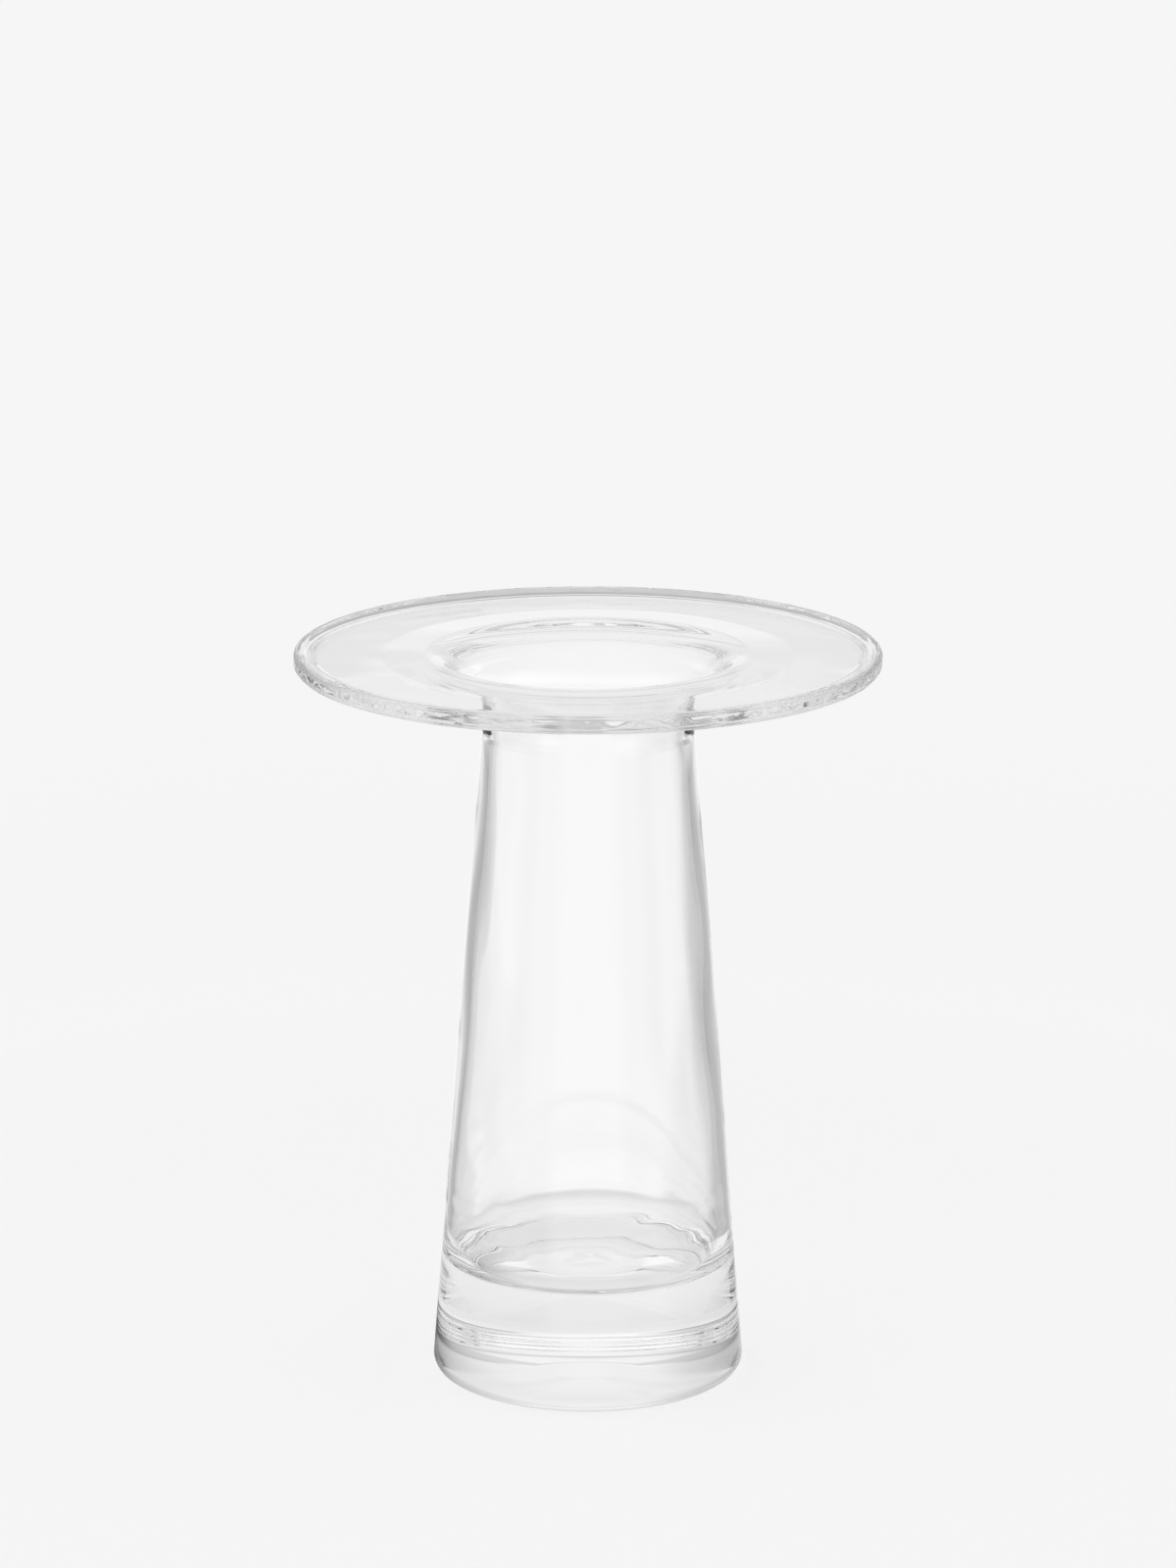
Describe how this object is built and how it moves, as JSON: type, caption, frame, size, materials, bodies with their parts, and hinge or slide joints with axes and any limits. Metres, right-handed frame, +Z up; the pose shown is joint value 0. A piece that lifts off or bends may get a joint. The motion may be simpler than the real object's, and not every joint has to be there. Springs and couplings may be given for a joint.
{
  "type": "trumpet vase",
  "caption": "Clear glass trumpet vase: heavy solid base, tapered hollow column, flared throat and a wide, nearly flat dish with a rounded lip.",
  "frame": {"origin": "centre of the base, on the surface that the vase stands on", "axes": "+Z up along the vase's axis of rotation; +X and +Y are alike"},
  "size_m": [0.195, 0.195, 0.25],
  "materials": {
    "clear_glass": "fire-polished clear glass"
  },
  "bodies": {
    "root": {"heavy_base": "clear_glass", "column_wall": "clear_glass", "trumpet_throat": "clear_glass", "flared_dish": "clear_glass", "rim_lip": "clear_glass"}
  },
  "joints": []
}
